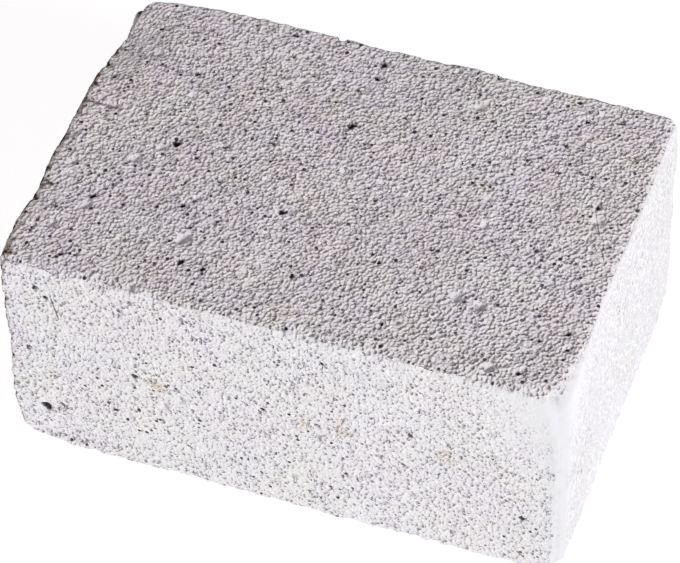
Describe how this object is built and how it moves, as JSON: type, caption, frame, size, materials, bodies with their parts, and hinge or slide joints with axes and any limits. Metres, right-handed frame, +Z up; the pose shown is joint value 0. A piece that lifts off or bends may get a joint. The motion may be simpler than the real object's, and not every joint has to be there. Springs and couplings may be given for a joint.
{
  "type": "pumice stone",
  "caption": "Hand-sized rectangular block of foamed pumice with worn edges and open pores, for scouring and rubbing down surfaces.",
  "frame": {"origin": "middle of the flat underside", "axes": "+X along the longest side, +Y away from the broad front, +Z up from the underside"},
  "size_m": [0.1003, 0.0678, 0.0474],
  "materials": {
    "pumice": "sawn, porous, dry and matte"
  },
  "bodies": {
    "root": {"pumice_block": "pumice"}
  },
  "joints": []
}
